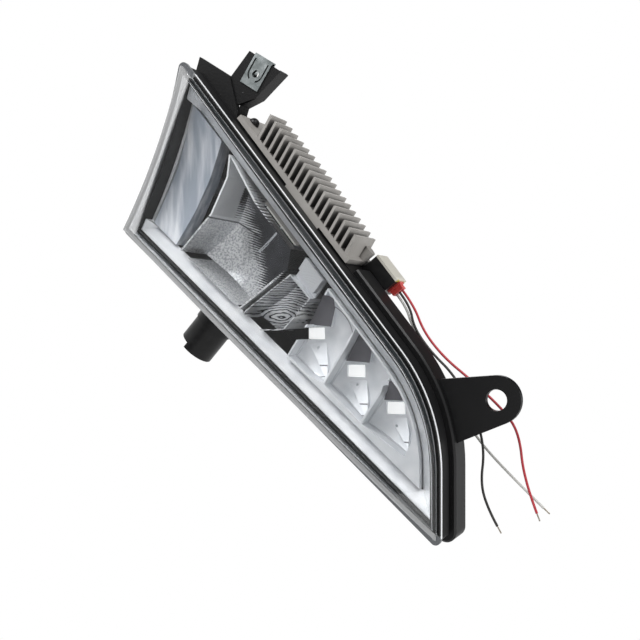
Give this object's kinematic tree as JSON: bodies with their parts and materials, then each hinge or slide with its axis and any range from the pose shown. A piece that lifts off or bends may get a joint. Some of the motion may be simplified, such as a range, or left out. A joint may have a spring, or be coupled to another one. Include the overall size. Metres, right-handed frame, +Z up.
{
  "type": "truck spotlight",
  "caption": "Wedge-shaped truck spotlight with a clear lens, chrome reflectors, a finned heat sink, a driver box with loose wires, and two fixing points.",
  "frame": {"origin": "centre of the bolt hole in the lower ear, on the ear's front face", "axes": "+Y back into the lamp along the bolt hole, +Z up, +X to the right as seen from the front"},
  "size_m": [0.2789, 0.087, 0.3215],
  "materials": {
    "black_moulding": "semi-gloss black moulding",
    "clear_lens": "clear gloss",
    "sealant": "matt black",
    "silvered": "vacuum silvered mirror",
    "satin_silver": "satin silver",
    "white_diffuser": "white",
    "circuit_board": "white solder mask",
    "cast_aluminium": "bead-blasted casting",
    "dark_steel": "black oxide",
    "beige_resin": "cast resin",
    "red_silicone": "matt silicone",
    "red_insulation": "satin",
    "black_insulation": "satin",
    "white_insulation": "satin",
    "zinc_steel": "bright zinc plate",
    "pin_brass": "tinned",
    "black_rubber": "matt black"
  },
  "bodies": {
    "root": {"housing": "black_moulding", "lens": "clear_lens", "lens_sealant": "sealant", "trim_frame": "silvered", "side_trim": "satin_silver", "main_reflector": "silvered", "lobe_reflector": "silvered", "drl_reflector": "silvered", "drl_leds": "white_diffuser", "drl_led_boards": "circuit_board", "main_led_board": "circuit_board", "main_leds": "white_diffuser", "heat_sink": "cast_aluminium", "heat_sink_gasket": "sealant", "heat_sink_screws": "dark_steel", "driver_case": "black_moulding", "driver_plate": "beige_resin", "wire_seal": "red_silicone", "red_wire": "red_insulation", "black_wire": "black_insulation", "white_wire": "white_insulation", "u_nut": "zinc_steel", "socket_body": "black_moulding", "socket_collar": "black_moulding", "socket_pins": "pin_brass", "vent_cap": "black_rubber", "reflector_screws": "zinc_steel"}
  },
  "joints": []
}
